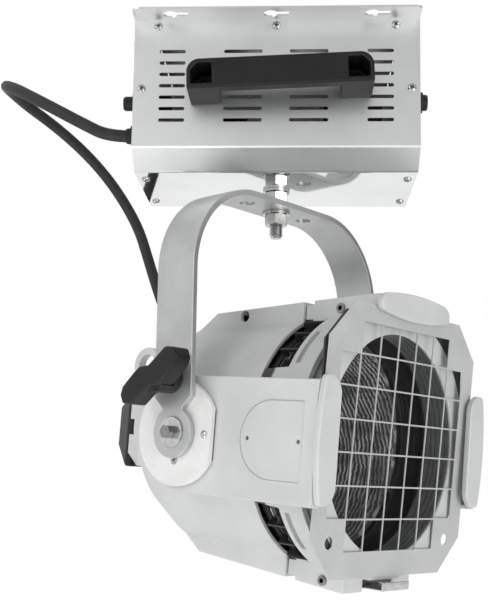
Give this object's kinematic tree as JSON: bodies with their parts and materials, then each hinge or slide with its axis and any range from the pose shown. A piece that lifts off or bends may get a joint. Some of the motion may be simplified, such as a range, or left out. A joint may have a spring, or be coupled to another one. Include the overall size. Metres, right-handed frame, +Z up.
{
  "type": "follow spot",
  "caption": "Hanging stage lantern with its ballast box above: bent bar yoke, cast head with glass lens and square wire guard, braked tilt, panning bolt, carry handle and lamp cable.",
  "frame": {"origin": "top face of the ballast box lid, on the axis of the hanging bolt", "axes": "+Z up out of the ceiling face; X along the ballast box, +X towards the mains gland end; the carry handle side faces -Y; the head is stored turned 51.8 degrees about the bolt and tipped 4.6 degrees down"},
  "size_m": [0.443, 0.3059, 0.472],
  "materials": {
    "stainless_sheet": "brushed stainless sheet",
    "zinc_hardware": "bright zinc plated",
    "chrome_screw": "nickel plated",
    "black_plastic": "moulded, satin black",
    "grey_plastic": "moulded, dark grey",
    "red_plastic": "moulded, dull red",
    "powder_coat_casting": "die cast, light grey powder coat",
    "yoke_steel": "satin zinc finish",
    "disc_steel": "bright plated",
    "fibre": "pressed fibre",
    "painted_sheet": "light grey paint",
    "baffle_black": "black heat resistant paint",
    "reflector_aluminium": "bright, textured",
    "lens_glass": "clear",
    "lamp_glass": "quartz",
    "ceramic": "glazed ceramic",
    "core_steel": "laminated, varnished",
    "copper_winding": "enamelled copper",
    "can_aluminium": "drawn can",
    "spring_steel": "bright spring steel",
    "rubber_cable": "matt black rubber"
  },
  "bodies": {
    "ballast": {"ballast_housing": "stainless_sheet", "ballast_lid": "stainless_sheet", "ballast_end_left": "stainless_sheet", "ballast_end_right": "stainless_sheet", "panel_screws": "chrome_screw", "bottom_screws": "chrome_screw", "carry_handle": "black_plastic", "handle_screws": "zinc_hardware", "handle_nuts": "zinc_hardware", "rocker_switch": "black_plastic", "fuse_holder": "black_plastic", "fuse_link": "lamp_glass", "lamp_cable_gland": "black_plastic", "mains_gland": "black_plastic", "lamp_cable": "rubber_cable", "choke_core": "core_steel", "choke_coil": "copper_winding", "capacitor": "can_aluminium", "ignitor": "grey_plastic", "terminal_block": "ceramic", "backing_plate": "zinc_hardware", "hanging_bolt": "zinc_hardware", "bolt_washers": "zinc_hardware", "bolt_nuts": "zinc_hardware"},
    "rocker_button": {"rocker": "red_plastic"},
    "fuse_cap_body": {"fuse_cap": "black_plastic"},
    "yoke_body": {"yoke": "yoke_steel"},
    "knob": {"lock_knob": "grey_plastic", "lock_stud": "zinc_hardware"},
    "clip": {"retaining_clip": "spring_steel"},
    "head": {"clip_pin": "zinc_hardware", "disc_gasket_far": "fibre", "disc_gasket_near": "fibre", "disc_rivets": "zinc_hardware", "disc_screws": "chrome_screw", "frame_screws": "zinc_hardware", "friction_disc_far": "disc_steel", "friction_disc_near": "disc_steel", "front_frame": "powder_coat_casting", "guard_plate": "painted_sheet", "head_cable_gland": "black_plastic", "head_shell": "powder_coat_casting", "lamp": "lamp_glass", "lamp_base": "ceramic", "lamp_holder": "ceramic", "lens": "lens_glass", "lens_ring": "painted_sheet", "pivot_bolts": "zinc_hardware", "pivot_nuts": "zinc_hardware", "pivot_washers": "zinc_hardware", "rear_cap": "grey_plastic", "rear_housing": "powder_coat_casting", "reflector": "reflector_aluminium", "side_lip_far": "powder_coat_casting", "side_lip_near": "powder_coat_casting", "top_lip": "powder_coat_casting", "vent_baffle": "baffle_black"}
  },
  "joints": [
    {"name": "pan", "type": "hinge", "parent": "ballast", "child": "yoke_body", "pos_m": [0, 0, -0.1464], "axis": [0, 0, 1], "range_deg": [-175, 175], "deforming": ["lamp_cable"]},
    {"name": "tilt", "type": "hinge", "parent": "yoke_body", "child": "head", "pos_m": [0, 0, -0.351], "axis": [0.6184, 0.7859, 0], "range_deg": [-40, 85], "deforming": ["lamp_cable"]},
    {"name": "lock_knob_turn", "type": "hinge", "parent": "yoke_body", "child": "knob", "pos_m": [-0.07792, -0.09902, -0.309], "axis": [-0.6184, -0.7859, 0], "range_deg": [-90, 90]},
    {"name": "rocker_rock", "type": "hinge", "parent": "ballast", "child": "rocker_button", "pos_m": [-0.119, -0.055, -0.02], "axis": [0, -1, 0], "range_deg": [-22, 0]},
    {"name": "fuse_cap_turn", "type": "hinge", "parent": "ballast", "child": "fuse_cap_body", "pos_m": [-0.1225, -0.055, -0.067], "axis": [-1, 0, 0], "range_deg": [0, 90]},
    {"name": "clip_open", "type": "hinge", "parent": "head", "child": "clip", "pos_m": [0.07479, -0.05885, -0.465], "axis": [0.6184, 0.7859, 0], "range_deg": [0, 70]}
  ]
}
